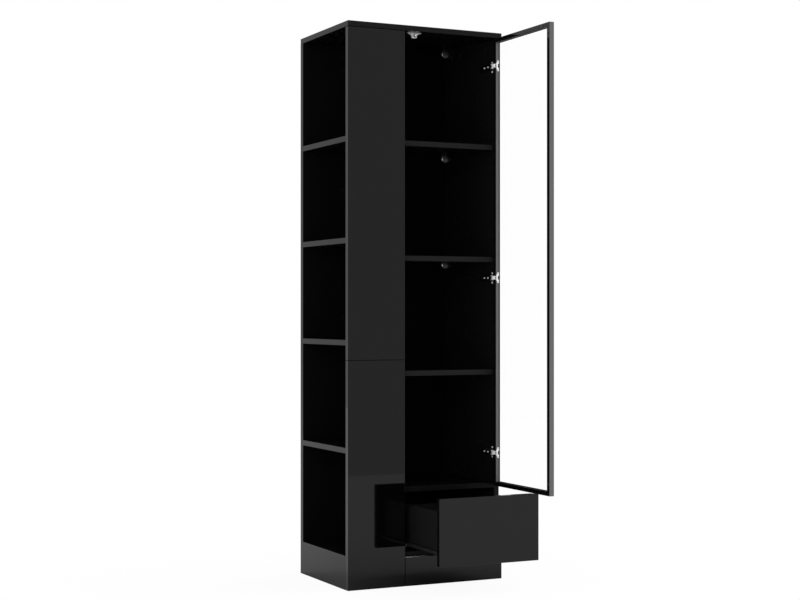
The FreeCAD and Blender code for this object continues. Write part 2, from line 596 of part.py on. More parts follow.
# ---- push latch ----------------------------------------------------------------------
def latch_body():
    """Housing of the plunger under the top panel, with a ribbed plate that is screwed on."""
    middle = sum(LATCH_Y) / 2
    plate_y = (middle - LATCH_PLATE_L / 2, middle + LATCH_PLATE_L / 2)
    plate_z = (TOP_UNDER - LATCH_PLATE_T, TOP_UNDER)
    plate_x = (LATCH_X - LATCH_PLATE_W / 2, LATCH_X + LATCH_PLATE_W / 2)
    plate = block(plate_x, plate_y, plate_z)
    plate = eased(plate, WING_ROUND, lambda edge: runs_along(edge, Z_AXIS))
    foot = LATCH_PLATE_W / 2 - LATCH_RIB_INSET
    corners = [(-foot, plate_z[0]), (foot, plate_z[0]), (LATCH_W / 2, TOP_UNDER - LATCH_RIB_H),
               (-LATCH_W / 2, TOP_UNDER - LATCH_RIB_H)]
    for y in (plate_y[0], plate_y[1] - LATCH_RIB_T):
        points = [Vec(LATCH_X + x, y, z) for x, z in corners]
        rib = Part.Face(Part.makePolygon(points + points[:1])).extrude(Y_AXIS * LATCH_RIB_T)
        plate = plate.fuse(rib)
    x = (LATCH_X - LATCH_W / 2, LATCH_X + LATCH_W / 2)
    body = block(x, LATCH_Y, (TOP_UNDER - LATCH_H, TOP_UNDER))
    body = eased(body, LATCH_ROUND, lambda edge: not lies_on(edge, "z", TOP_UNDER))
    bore_start = (LATCH_X, LATCH_Y[0], LATCH_AXIS_Z)
    return fused(plate, body).cut(disc(bore_start, Y_AXIS, PLUNGER_R + PLUNGER_FIT, LATCH_BORE_L))


def add_latch(boards, screws):
    latch = latch_body()
    for x in (LATCH_X - LATCH_SCREW_X, LATCH_X + LATCH_SCREW_X):
        fixing = screw((x, sum(LATCH_Y) / 2, TOP_UNDER - LATCH_PLATE_T), Z_AXIS, WOOD_SCREW)
        latch = latch.cut(fixing)
        boards["top_panel"] = boards["top_panel"].cut(fixing)
        screws.append(fixing)
    plunger = disc((LATCH_X, PLUNGER_TIP_Y, LATCH_AXIS_Z), Y_AXIS, PLUNGER_R, PLUNGER_L)
    tip = eased(plunger, PLUNGER_ROUND, lambda edge: edge.Closed and lies_on(edge, "y", PLUNGER_TIP_Y))
    return {"latch_body": latch, "latch_plunger": tip}


# ---- door, drawn closed --------------------------------------------------------------
def door_frame_and_glass():
    """Four frame bars grooved for the glass, the glass and its seal, and the frame's dowels."""
    depth = (0, FRONT_T)
    free_x = (DOOR_X[0], DOOR_X[0] + DOOR_STILE_W)
    rail_x = (free_x[1], STILE_FACE)
    low = (DOOR_Z[0], DOOR_Z[0] + DOOR_RAIL_H)
    high = (DOOR_Z[1] - DOOR_RAIL_H, DOOR_Z[1])
    pieces = {
        "door_free_stile": eased(block(free_x, depth, DOOR_Z)),
        "door_hinge_stile": eased(block((STILE_FACE, DOOR_X[1]), depth, DOOR_Z)),
        "door_bottom_rail": eased(block(rail_x, depth, low), EDGE_EASE, lambda e: runs_along(e, X_AXIS)),
        "door_top_rail": eased(block(rail_x, depth, high), EDGE_EASE, lambda e: runs_along(e, X_AXIS)),
    }
    sight = (rail_x, (low[1], high[0]))

    def pane(grow, y):
        """Plate as large as the sight of the glass, grown on its four sides."""
        x, z = [(edge[0] - grow, edge[1] + grow) for edge in sight]
        return block(x, y, z)

    groove_y = (GLASS_FRONT - SEAL_T, GLASS_FRONT + GLASS_T + SEAL_T)
    groove = pane(GLASS_BITE, groove_y)
    glass = pane(GLASS_BITE - SEAL_T, (GLASS_FRONT, GLASS_FRONT + GLASS_T))
    dowels = []
    for rail, z in (("door_bottom_rail", sum(low) / 2), ("door_top_rail", sum(high) / 2)):
        for stile, x in (("door_free_stile", rail_x[0]), ("door_hinge_stile", rail_x[1])):
            start = (x - FRAME_DOWEL_BITE, FRONT_T - FRAME_DOWEL_INSET, z)
            dowel = disc(start, X_AXIS, FRAME_DOWEL_R, 2 * FRAME_DOWEL_BITE)
            pieces[rail] = pieces[rail].cut(dowel)
            pieces[stile] = pieces[stile].cut(dowel)
            dowels.append(dowel)
    for node in list(pieces):
        pieces[node] = pieces[node].cut(groove)
    pieces["door_glass"] = glass
    pieces["door_glass_seal"] = groove.cut(glass).cut(pane(-SEAL_LIP, groove_y))
    pieces["door_frame_dowels"] = dowels
    return pieces


def door_fittings(frame):
    """What is fixed to the frame: cups with their screws, strike plate and bumpers."""
    cups = []
    cup_screws = []
    for height in HINGE_HEIGHTS:
        cup = hinge_cup()
        for z in (-CUP_SCREW_Z, CUP_SCREW_Z):
            fixing = screw((STILE_FACE - CUP_T, CUP_SCREW_Y, z), X_AXIS, CUP_SCREW)
            cup = cup.cut(fixing)
            fixing = raised(fixing, height)
            frame["door_hinge_stile"] = frame["door_hinge_stile"].cut(fixing)
            cup_screws.append(fixing)
        cups.append(raised(cup, height))
    strike_x = (LATCH_X - STRIKE_W / 2, LATCH_X + STRIKE_W / 2)
    strike_z = (LATCH_AXIS_Z - STRIKE_H / 2, LATCH_AXIS_Z + STRIKE_H / 2)
    bumper_ends = (DOOR_Z[0] + DOOR_BUMPER_INSET, DOOR_Z[1] - DOOR_BUMPER_INSET)
    bumper_x = DOOR_X[0] + BUMPER_INSET
    return {
        "hinge_cups": cups,
        "hinge_cup_screws": cup_screws,
        "door_strike_plate": [block(strike_x, (FRONT_T, FRONT_T + STRIKE_T), strike_z)],
        "door_bumpers": [disc((bumper_x, FRONT_T, z), Y_AXIS, BUMPER_R, BUMPER_T) for z in bumper_ends],
    }


# ---- runners of the left side --------------------------------------------------------
def cabinet_runner():
    """Channel on the partition, with the axle of the front roller."""
    x = (BAY[0], BAY[0] + CABINET_RUNNER_W)
    y = (CARCASS_FRONT + CABINET_RUNNER_SETBACK, BACK_FACE - CABINET_RUNNER_REAR)
    z = (RUNNER_Z, RUNNER_Z + CABINET_RUNNER_H)
    channel = block(x, y, z)
    hollow = block((x[0] + RUNNER_STEEL, x[1]), y, (z[0] + RUNNER_STEEL, z[1] - RUNNER_STEEL))
    axle_end = FRONT_ROLLER_X + FRONT_ROLLER_W
    axle = disc((x[0], FRONT_ROLLER_Y, FRONT_ROLLER_Z), X_AXIS, ROLLER_AXLE_R, axle_end)
    return fused(channel.cut(hollow), axle)


def drawer_runner():
    """Profile under and beside the drawer side, with the axle of the rear roller."""
    y = (FRONT_T + DRAWER_RUNNER_SETBACK, REAR_ROLLER_Y - REAR_ROLLER_R - ROLLING_GAP)
    web_x = (DRAWER_WEB_X, DRAWER_WEB_X + RUNNER_STEEL)
    top = FLANGE_Z + RUNNER_STEEL
    edge_x = web_x[1] - DRAWER_RUNNER_REACH
    foot = block((web_x[0], web_x[1] + DRAWER_RUNNER_FOOT), y,
                 (DRAWER_RUNNER_Z, DRAWER_RUNNER_Z + RUNNER_STEEL))
    web = block(web_x, (y[0], REAR_ROLLER_Y + AXLE_TAIL), (DRAWER_RUNNER_Z, top))
    flange = block((edge_x, web_x[1]), y, (FLANGE_Z, top))
    lip = block((edge_x, edge_x + RUNNER_STEEL), y, (top - DRAWER_RUNNER_LIP, top))
    axle_length = RUNNER_SPACE - REAR_ROLLER_X
    axle = disc((web_x[1], REAR_ROLLER_Y, REAR_ROLLER_Z), -X_AXIS, ROLLER_AXLE_R, axle_length)
    return fused(web, foot, flange, lip, axle)


def roller(radius, width, start):
    """Plastic roller bored to run on its axle."""
    tyre = eased(disc(start, X_AXIS, radius, width), ROLLER_ROUND)
    return tyre.cut(disc(start, X_AXIS, ROLLER_AXLE_R + ROLLER_FIT, width))


def add_runners(boards, screws):
    """Runners and rollers of both sides, the drawer's own in the stored pose."""
    fixed = cabinet_runner()
    for inset in RUNNER_SCREW_INSETS:
        head_face = (BAY[0] + RUNNER_STEEL + RUNNER_SCREW_PROUD, CARCASS_FRONT + inset,
                     RUNNER_Z + RUNNER_SCREW_Z)
        left = screw(head_face, -X_AXIS, WOOD_SCREW)
        fixed = fixed.cut(left)
        boards["partition_panel"] = boards["partition_panel"].cut(left)
        boards["right_side_panel"] = boards["right_side_panel"].cut(mirrored(left))
        screws.extend([left, mirrored(left)])
    moving = drawer_runner()
    front = roller(FRONT_ROLLER_R, FRONT_ROLLER_W,
                   (BAY[0] + FRONT_ROLLER_X, FRONT_ROLLER_Y, FRONT_ROLLER_Z))
    rear = roller(REAR_ROLLER_R, REAR_ROLLER_W,
                  (BAY[0] + REAR_ROLLER_X, REAR_ROLLER_Y, REAR_ROLLER_Z))
    return {
        "cabinet_runners": [fixed, mirrored(fixed)],
        "front_rollers": [front, mirrored(front)],
        "drawer_runners": [pulled(moving), pulled(mirrored(moving))],
        "rear_rollers": [pulled(rear), pulled(mirrored(rear))],
    }


# ---- drawer, drawn closed ------------------------------------------------------------
def drawer_box():
    """Front, two sides, back and floor of the drawer, with their fittings."""
    floor_x = (DRAWER_INSIDE[0] - DRAWER_GROOVE, DRAWER_INSIDE[1] + DRAWER_GROOVE)
    floor = block(floor_x, (FRONT_T - DRAWER_GROOVE, DRAWER_BACK_Y[1]), DRAWER_FLOOR_Z)
    side = block(DRAWER_SIDE_X, (FRONT_T, DRAWER_REAR), DRAWER_SIDE_Z).cut(floor)
    back = block(DRAWER_INSIDE, DRAWER_BACK_Y, (DRAWER_FLOOR_Z[1], DRAWER_SIDE_Z[1] - DRAWER_BACK_DROP))
    cams = []
    screws = []
    for z in DRAWER_FIXINGS_Z:
        mouth = (DRAWER_SIDE_X[1], FRONT_T + CAM_INSET, z)
        side = side.cut(disc(mouth, -X_AXIS, CAM_R + CAM_FIT, DRAWER_CAM_DEPTH))
        lock = cam(mouth, -X_AXIS, DRAWER_CAM_DEPTH)
        cams.extend([lock, mirrored(lock)])
        fixing = screw((DRAWER_SIDE_X[0], sum(DRAWER_BACK_Y) / 2, z), X_AXIS, DRAWER_SCREW)
        side = side.cut(fixing)
        back = back.cut(fixing).cut(mirrored(fixing))
        screws.extend([fixing, mirrored(fixing)])
    return {
        "drawer_front": [eased(block(DOOR_X, (0, FRONT_T), DRAWER_FRONT_Z)).cut(floor)],
        "drawer_left_side": [side],
        "drawer_right_side": [mirrored(side)],
        "drawer_back": [back],
        "drawer_bottom": [floor],
        "drawer_cams": cams,
        "drawer_screws": screws,
        "drawer_bumpers": drawer_bumpers(),
    }


def drawer_bumpers():
    """Bumpers in the corners of the drawer front, against the two uprights."""
    bumpers = []
    for x in (DOOR_X[0] + BUMPER_INSET, WIDTH - BOARD / 2):
        for z in (DRAWER_FRONT_Z[0] + DRAWER_BUMPER_INSET, DRAWER_FRONT_Z[1] - DRAWER_BUMPER_INSET):
            bumpers.append(disc((x, FRONT_T, z), Y_AXIS, BUMPER_R, BUMPER_T))
    return bumpers


# ---- everything ----------------------------------------------------------------------
def all_pieces():
    """Node name to its solid, or to the list of its solids."""
    boards = carcass_boards()
    add_back_sheet(boards)
    screws = []
    pieces = {
        "joint_dowels": add_dowels(boards),
        "cam_locks": add_cams(boards),
        "shelf_pins": add_shelf_pins(boards),
        "front_brackets": add_front_brackets(boards, screws),
    }
    pieces.update(add_hinges(boards, screws))
    pieces.update(add_latch(boards, screws))
    pieces.update(add_runners(boards, screws))
    pieces.update(boards)
    pieces["wood_screws"] = screws
    link_turn = DOOR_REST_ANGLE * LINK_SHARE
    pieces["hinge_links"] = [opened(raised(hinge_link(), height), link_turn) for height in HINGE_HEIGHTS]

    frame = door_frame_and_glass()
    fittings = door_fittings(frame)
    for node, closed in {**frame, **fittings}.items():
        solids = closed if isinstance(closed, list) else [closed]
        pieces[node] = [opened(solid) for solid in solids]
    for node, closed in drawer_box().items():
        pieces[node] = [pulled(solid) for solid in closed]
    return pieces


def write(node, shape):
    """Move a piece to the row frame and store it."""
    solids = shape if isinstance(shape, list) else [shape]
    stored = Part.makeCompound(solids) if len(solids) > 1 else solids[0]
    moved(stored, -ORIGIN).exportStep(f"parts/{node}.step")


os.makedirs("parts", exist_ok=True)
for name, piece in all_pieces().items():
    write(name, piece)
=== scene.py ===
"""Looks of the gloss black bookcase: camera, studio, materials and fine fittings."""
import json
import math

import bmesh
import bpy
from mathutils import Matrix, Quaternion, Vector


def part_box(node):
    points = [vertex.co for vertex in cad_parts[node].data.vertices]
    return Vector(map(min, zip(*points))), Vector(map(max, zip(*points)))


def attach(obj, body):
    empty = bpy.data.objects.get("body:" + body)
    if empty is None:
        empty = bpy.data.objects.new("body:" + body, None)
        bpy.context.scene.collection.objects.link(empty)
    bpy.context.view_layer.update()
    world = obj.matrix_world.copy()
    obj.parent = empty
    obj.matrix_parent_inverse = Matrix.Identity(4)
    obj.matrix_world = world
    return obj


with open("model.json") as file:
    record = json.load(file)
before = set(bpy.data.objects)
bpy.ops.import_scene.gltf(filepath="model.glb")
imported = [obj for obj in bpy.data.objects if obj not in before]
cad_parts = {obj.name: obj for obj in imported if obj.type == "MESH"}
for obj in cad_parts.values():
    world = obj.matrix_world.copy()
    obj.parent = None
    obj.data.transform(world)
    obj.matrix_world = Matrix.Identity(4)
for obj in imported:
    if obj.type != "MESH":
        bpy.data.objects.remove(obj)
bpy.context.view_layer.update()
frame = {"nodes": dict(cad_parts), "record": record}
nodes = frame["nodes"]
slot_of = {part["node"]: part["material_slot"] for part in frame["record"]["subparts"]}
scene = bpy.context.scene


# ---- camera ---------------------------------------------------------------------------
CAMERA_PLACE = (-2.4531, -5.2504, 0.9254)
CAMERA_TURN = -25.891           # degrees about Z, looking level
CAMERA_LENS = 71.75
CAMERA_SENSOR = 36.0
CAMERA_SHIFT_Y = 0.0162
FAR_CLIP = 60.0

camera = bpy.data.objects.new("photo_camera", bpy.data.cameras.new("photo_camera"))
scene.collection.objects.link(camera)
camera.location = CAMERA_PLACE
camera.rotation_euler = (math.radians(90), 0, math.radians(CAMERA_TURN))
camera.data.sensor_width = CAMERA_SENSOR
camera.data.lens = CAMERA_LENS
camera.data.shift_y = CAMERA_SHIFT_Y
camera.data.clip_end = FAR_CLIP
scene.camera = camera
scene.view_settings.view_transform = "Standard"


# ---- node helpers ---------------------------------------------------------------------
MIX_COLOUR_A, MIX_COLOUR_B, MIX_COLOUR_OUT = 6, 7, 2    # sockets of a Mix node for colours
NOISE_LOW, NOISE_HIGH = 0.3, 0.7                        # the range that most noise lies in
ON_EDGE, OFF_EDGE = 0.86, 0.99                          # cosine of the turn near an edge
ALONG_FROM, ALONG_FULL = 0.8, 0.95                      # cosine that counts as facing an axis
WEAR_SCALE = 60.0                                       # worn and whole stretches per metre
WEAR_CONTRAST = (0.4, 0.65)                             # noise at a whole and at a worn stretch
WEAR_LEAST = 0.1                                        # wear left on a whole stretch


def new_material(name):
    made = bpy.data.materials.new(name)
    made.use_nodes = True
    tree = made.node_tree
    tree.nodes.clear()
    out = tree.nodes.new("ShaderNodeOutputMaterial")
    return made, tree, out


def noise(tree, coords, scale, detail=3.0, stretch=None):
    """Noise over the object's own coordinates. stretch squeezes it along an axis."""
    node = tree.nodes.new("ShaderNodeTexNoise")
    node.inputs["Scale"].default_value = scale
    node.inputs["Detail"].default_value = detail
    if stretch:
        mapping = tree.nodes.new("ShaderNodeMapping")
        mapping.inputs["Scale"].default_value = stretch
        tree.links.new(coords, mapping.inputs["Vector"])
        coords = mapping.outputs["Vector"]
    tree.links.new(coords, node.inputs["Vector"])
    return node.outputs["Fac"]


def remap(tree, value, low, high, to_low, to_high):
    node = tree.nodes.new("ShaderNodeMapRange")
    node.inputs["From Min"].default_value = low
    node.inputs["From Max"].default_value = high
    node.inputs["To Min"].default_value = to_low
    node.inputs["To Max"].default_value = to_high
    tree.links.new(value, node.inputs["Value"])
    return node.outputs["Result"]


def math_node(tree, operation, first, second):
    node = tree.nodes.new("ShaderNodeMath")
    node.operation = operation
    for slot, value in zip(node.inputs, (first, second)):
        if isinstance(value, (int, float)):
            slot.default_value = value
        else:
            tree.links.new(value, slot)
    return node.outputs[0]


def mixed(tree, factor, first, second):
    """A colour between first and second by factor. Each is a colour or a socket."""
    node = tree.nodes.new("ShaderNodeMix")
    node.data_type = "RGBA"
    tree.links.new(factor, node.inputs["Factor"])
    for index, value in ((MIX_COLOUR_A, first), (MIX_COLOUR_B, second)):
        if isinstance(value, tuple):
            node.inputs[index].default_value = (*value, 1)
        else:
            tree.links.new(value, node.inputs[index])
    return node.outputs[MIX_COLOUR_OUT]


def either_shader(tree, factor, first, second):
    """The first shader where factor is 0, the second where it is 1."""
    node = tree.nodes.new("ShaderNodeMixShader")
    tree.links.new(factor, node.inputs["Fac"])
    tree.links.new(first.outputs[0], node.inputs[1])
    tree.links.new(second.outputs[0], node.inputs[2])
    return node.outputs[0]


def any_ray(tree, *kinds):
    """1 for rays of these kinds, 0 for all others."""
    path = tree.nodes.new("ShaderNodeLightPath")
    share = path.outputs[kinds[0]]
    for kind in kinds[1:]:
        share = math_node(tree, "MAXIMUM", share, path.outputs[kind])
    return share


def bumped(tree, height, strength, distance):
    node = tree.nodes.new("ShaderNodeBump")
    node.inputs["Strength"].default_value = strength
    node.inputs["Distance"].default_value = distance
    tree.links.new(height, node.inputs["Height"])
    return node.outputs["Normal"]


def object_coords(tree):
    return tree.nodes.new("ShaderNodeTexCoord").outputs["Object"]


def worn_edges(tree, radius):
    """Where the surface turns sharply: 0 on faces, up to 1 on edges."""
    bevel = tree.nodes.new("ShaderNodeBevel")
    bevel.samples = 4
    bevel.inputs["Radius"].default_value = radius
    geometry = tree.nodes.new("ShaderNodeNewGeometry")
    dot = tree.nodes.new("ShaderNodeVectorMath")
    dot.operation = "DOT_PRODUCT"
    tree.links.new(bevel.outputs["Normal"], dot.inputs[0])
    tree.links.new(geometry.outputs["Normal"], dot.inputs[1])
    return remap(tree, dot.outputs["Value"], OFF_EDGE, ON_EDGE, 0.0, 1.0)


def faces_along(tree, axis, sign=None):
    """1 on the faces whose own normal runs along an axis, 0 on the others."""
    coords = tree.nodes.new("ShaderNodeTexCoord")
    parts = tree.nodes.new("ShaderNodeSeparateXYZ")
    tree.links.new(coords.outputs["Normal"], parts.inputs[0])
    along = math_node(tree, "MULTIPLY", parts.outputs[axis], sign or 1)
    if sign is None:
        along = math_node(tree, "ABSOLUTE", along, 0.0)
    return remap(tree, along, ALONG_FROM, ALONG_FULL, 0.0, 1.0)


def along_object(tree, axis, start, end):
    """0 at start and 1 at end, along an axis of the object."""
    parts = tree.nodes.new("ShaderNodeSeparateXYZ")
    tree.links.new(object_coords(tree), parts.inputs[0])
    return remap(tree, parts.outputs[axis], start, end, 0.0, 1.0)


def surface(name, dark, light, patch, rough, rough_scale, bump, ior, metallic=0.0, grain=None,
            wear=None, wear_colour=None, wear_rough=None,
            band=None, band_colour=None, band_rough=0.0):
    """A material whose colour, roughness, micro relief and edge wear vary over the surface.

    dark and light are the two ends of its colour, patch the scale of that change per metre.
    rough is the range of its roughness, and bump the scale, strength and depth of its relief.
    grain squeezes the pattern of both along an axis.
    wear is the width of its worn edges, which come and go along their length.
    band is (axis, sign) of the faces that have band_colour instead, both ways without a sign.
    """
    made, tree, out = new_material(name)
    shader = tree.nodes.new("ShaderNodeBsdfPrincipled")
    shader.inputs["IOR"].default_value = ior
    shader.inputs["Metallic"].default_value = metallic
    tree.links.new(shader.outputs["BSDF"], out.inputs["Surface"])
    coords = object_coords(tree)

    colour = mixed(tree, noise(tree, coords, patch, 4.0), dark, light)
    roughness = remap(tree, noise(tree, coords, rough_scale, 5.0, grain),
                      NOISE_LOW, NOISE_HIGH, *rough)
    if band:
        share = faces_along(tree, *band)
        colour = mixed(tree, share, colour, band_colour)
        roughness = math_node(tree, "MAXIMUM", roughness,
                              math_node(tree, "MULTIPLY", share, band_rough))
    if wear:
        gaps = remap(tree, noise(tree, coords, WEAR_SCALE), *WEAR_CONTRAST, WEAR_LEAST, 1.0)
        patchy = math_node(tree, "MULTIPLY", worn_edges(tree, wear), gaps)
        colour = mixed(tree, patchy, colour, wear_colour)
        if wear_rough:
            spread = math_node(tree, "MULTIPLY", patchy, wear_rough)
            roughness = math_node(tree, "ADD", roughness, spread)
    tree.links.new(colour, shader.inputs["Base Color"])
    tree.links.new(roughness, shader.inputs["Roughness"])
    scale, strength, distance = bump
    height = noise(tree, coords, scale, 2.0, grain)
    tree.links.new(bumped(tree, height, strength, distance), shader.inputs["Normal"])
    return made


def painted_shade_towards(material, axis, start, end, colour):
    """Darken a material along an axis: painted shade."""
    tree = material.node_tree
    socket = tree.nodes["Principled BSDF"].inputs["Base Color"]
    unshaded = socket.links[0].from_socket
    tree.links.new(mixed(tree, along_object(tree, axis, start, end), unshaded, colour), socket)


def painted_sheen_in_front(material, front, spread=0.004, roughen=0.16):
    """Turn the metal from polished to pale and matt in front of a plane across Y: painted sheen,
    standing in for its bright reflection.
    """
    tree = material.node_tree
    shader = tree.nodes["Principled BSDF"]
    share = along_object(tree, "Y", front + spread, front)
    tree.links.new(remap(tree, share, 0.0, 1.0, 1.0, 0.0), shader.inputs["Metallic"])
    polished = shader.inputs["Roughness"].links[0].from_socket
    matt_roughness = math_node(tree, "MULTIPLY", share, roughen)
    tree.links.new(math_node(tree, "ADD", polished, matt_roughness), shader.inputs["Roughness"])


def grey(level, blue=None):
    return (level, level, level if blue is None else blue)


# ---- materials ------------------------------------------------------------------------
CARCASS_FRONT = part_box("right_side_panel")[0].y
SHEEN_PLANE = CARCASS_FRONT - 0.008     # the hinges are pale and matt in front of this plane, as painted sheen
LATCH_LOW, LATCH_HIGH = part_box("latch_body")
LATCH_UNSHADED = 0.008                     # height of the part of the latch left out of the painted shade
GLASS_IOR = 1.09                        # low, as the pane hardly mirrors its surroundings
SMEAR_ROUGHNESS, WAVE_DEPTH = 0.01, 0.0002

GLOSS = dict(
    dark=grey(0.0009), light=grey(0.0016), patch=2.2, rough=(0.012, 0.03), rough_scale=14.0,
    bump=(420.0, 0.02, 0.00002), ior=1.345)
BOARD = dict(
    patch=3.0, rough_scale=18.0, bump=(500.0, 0.03, 0.00002),
    wear=0.0009, wear_colour=grey(0.009, 0.0092), wear_rough=0.1)
SEMI_GLOSS = dict(
    dark=grey(0.0028, 0.0029), light=grey(0.0046, 0.0047), rough=(0.15, 0.22), ior=1.235, **BOARD)
FRAME = dict(
    dark=grey(0.0026, 0.0027), light=grey(0.0042, 0.0043), patch=8.0, rough=(0.03, 0.06),
    rough_scale=25.0, bump=(600.0, 0.03, 0.00002), ior=1.31,
    wear=0.0006, wear_colour=grey(0.012, 0.0122), wear_rough=0.1)
SCREW = dict(
    patch=300.0, rough=(0.22, 0.34), rough_scale=500.0, bump=(4000.0, 0.15, 0.00003), ior=1.5,
    wear=0.0003, wear_rough=-0.05)
FITTING = dict(
    patch=200.0, rough=(0.45, 0.6), rough_scale=400.0, bump=(3000.0, 0.2, 0.00004), wear=0.0003)

lacquer = surface(
    "gloss_black_lacquer", wear=0.0009, wear_colour=grey(0.007, 0.0072), wear_rough=0.1, **GLOSS)
# its top face is pale: a painted highlight along the top edge of the plinth
plinth_painted_highlight = surface(
    "plinth_painted_highlight", band=("Z", 1), band_colour=grey(0.7), band_rough=0.5, **GLOSS)
board = surface("black_carcass_board", **SEMI_GLOSS)
loose_shelf = surface(
    "black_shelf_board", band=("Y", -1), band_colour=grey(0.01, 0.0102), band_rough=0.8,
    **SEMI_GLOSS)
side_board = surface(
    "black_side_board", grey(0.005, 0.0051), grey(0.0075, 0.0076), rough=(0.2, 0.28), ior=1.18,
    band=("X", 1), band_colour=grey(0.011, 0.0112), **BOARD)
# a darker, duller copy of the board: painted shade on the drawer's deck and the right bottom
# board
painted_shade_board = surface(
    "black_painted_shade_board", grey(0.002), grey(0.0032), patch=5.0,
    rough=(0.3, 0.4), rough_scale=25.0, bump=(700.0, 0.05, 0.00003), ior=1.17,
    wear=0.0009, wear_colour=grey(0.006), wear_rough=0.1)
door_lacquer = surface(
    "door_frame_lacquer", band=("Y", None), band_colour=grey(0.12, 0.122), band_rough=0.6,
    **FRAME)
top_rail_lacquer = surface(
    "door_top_rail_lacquer", band=("Z", -1), band_colour=grey(0.03, 0.0305), band_rough=0.8,
    **FRAME)
bottom_rail_lacquer = surface(
    "door_bottom_rail_lacquer", band=("Z", None), band_colour=grey(0.001), band_rough=0.8,
    **FRAME)
hardboard = surface(
    "black_hardboard", grey(0.001), grey(0.0022), patch=25.0,
    rough=(0.42, 0.55), rough_scale=90.0, bump=(1500.0, 0.15, 0.00008), ior=1.09)
drawer_foil = surface(
    "drawer_foil", grey(0.0068, 0.0069), grey(0.009, 0.0092), patch=5.0,
    rough=(0.3, 0.38), rough_scale=40.0, grain=(1.0, 1.0, 6.0),
    bump=(900.0, 0.03, 0.00001), ior=1.25, wear=0.0008, wear_colour=grey(0.012),
    wear_rough=0.1)
rubber = surface(
    "seal_rubber", grey(0.006), grey(0.011), patch=80.0,
    rough=(0.5, 0.65), rough_scale=200.0, bump=(2500.0, 0.2, 0.00005), ior=1.3)
nickel = surface(
    "hinge_nickel", grey(0.92, 0.91), grey(0.97, 0.96), patch=120.0,
    rough=(0.09, 0.17), rough_scale=260.0, bump=(2200.0, 0.08, 0.00003), ior=1.6,
    metallic=1.0, wear=0.0004, wear_colour=grey(0.95, 0.94), wear_rough=-0.03)
# painted sheen: in front of the carcass the hinge metal is pale and matt, standing in for its
# bright reflection
painted_sheen_in_front(nickel, SHEEN_PLANE)
screw_steel = surface(
    "screw_zinc", grey(0.62), grey(0.8, 0.79), metallic=0.5, wear_colour=grey(0.9, 0.88),
    **SCREW)
pale_screw = surface(
    "screw_nickel", grey(0.8), grey(0.9, 0.89), wear_colour=grey(0.95, 0.93), **SCREW)
pin_black = surface(
    "pin_black", grey(0.0015), grey(0.003), ior=1.12, wear_colour=grey(0.006), **FITTING)
cam_zinc = surface(
    "cam_zinc", grey(0.004), grey(0.009), ior=1.15, wear_colour=grey(0.03, 0.029), **FITTING)
beech = surface(
    "beech_dowel", (0.42, 0.29, 0.17), (0.62, 0.46, 0.3), patch=90.0,
    rough=(0.5, 0.65), rough_scale=300.0, grain=(1.0, 1.0, 0.15),
    bump=(2500.0, 0.3, 0.0001), ior=1.45)
latch_plastic = surface(
    "latch_plastic", grey(0.8, 0.805), grey(0.9, 0.905), patch=70.0,
    rough=(0.3, 0.42), rough_scale=260.0, bump=(2600.0, 0.2, 0.00004), ior=1.47,
    wear=0.0005, wear_colour=grey(0.7))
# painted shade: the latch darkens towards the top panel that hangs over it
painted_shade_towards(latch_plastic, "Z", LATCH_LOW.z + LATCH_UNSHADED, LATCH_HIGH.z, grey(0.2))
# its sides are dark as painted shade; its front tip is pale
plunger_painted_shade = surface(
    "plunger_painted_shade", grey(0.045), grey(0.07), patch=150.0,
    rough=(0.3, 0.4), rough_scale=400.0, bump=(3000.0, 0.15, 0.00003), ior=1.4,
    band=("Y", -1), band_colour=grey(0.88), band_rough=0.35)
runner_black = surface(
    "runner_powder_coat", grey(0.01), grey(0.016), patch=40.0,
    rough=(0.28, 0.4), rough_scale=120.0, bump=(1800.0, 0.3, 0.00008), ior=1.4,
    wear=0.0004, wear_colour=grey(0.03, 0.031))
nylon = surface(
    "roller_nylon", grey(0.05), grey(0.08), patch=200.0,
    rough=(0.4, 0.5), rough_scale=400.0, bump=(3000.0, 0.15, 0.00004), ior=1.5,
    wear=0.0004, wear_colour=grey(0.15))


def clear_glass():
    """Float glass. Light on its way to the boards behind it passes straight through."""
    made, tree, out = new_material("clear_float_glass")
    shader = tree.nodes.new("ShaderNodeBsdfPrincipled")
    shader.inputs["Transmission Weight"].default_value = 1.0
    shader.inputs["IOR"].default_value = GLASS_IOR
    coords = object_coords(tree)
    tint = mixed(tree, noise(tree, coords, 3.0), (0.992, 0.998, 0.995), (0.998, 1.0, 0.999))
    smear = remap(tree, noise(tree, coords, 9.0, 6.0), 0.5, 0.75, 0.0, SMEAR_ROUGHNESS)
    wave = bumped(tree, noise(tree, coords, 4.0, 1.0), 0.01, WAVE_DEPTH)
    for value, socket in ((tint, "Base Color"), (smear, "Roughness"), (wave, "Normal")):
        tree.links.new(value, shader.inputs[socket])
    bounced = any_ray(tree, "Is Diffuse Ray", "Is Glossy Ray", "Is Shadow Ray")
    open_air = tree.nodes.new("ShaderNodeBsdfTransparent")
    tree.links.new(either_shader(tree, bounced, shader, open_air), out.inputs["Surface"])
    return made


finishes = {
    "gloss_board": lacquer, "black_board": board, "black_sheet": hardboard,
    "drawer_board": drawer_foil, "door_frame": door_lacquer, "clear_glass": clear_glass(),
    "seal_rubber": rubber, "hinge_steel": nickel, "screw_steel": screw_steel,
    "cam_zinc": cam_zinc, "beech": beech, "latch_plastic": latch_plastic,
    "black_steel": runner_black, "roller_plastic": nylon}

own_finish = {
    "drawer_deck": painted_shade_board, "right_bottom_board": painted_shade_board,
    "right_side_panel": side_board, "plinth_front": plinth_painted_highlight,
    "latch_plunger": plunger_painted_shade, "shelf_pins": pin_black, "front_brackets": runner_black,
    "cabinet_shelf_1": loose_shelf, "cabinet_shelf_2": loose_shelf,
    "cabinet_shelf_3": loose_shelf, "door_top_rail": top_rail_lacquer,
    "door_bottom_rail": bottom_rail_lacquer}

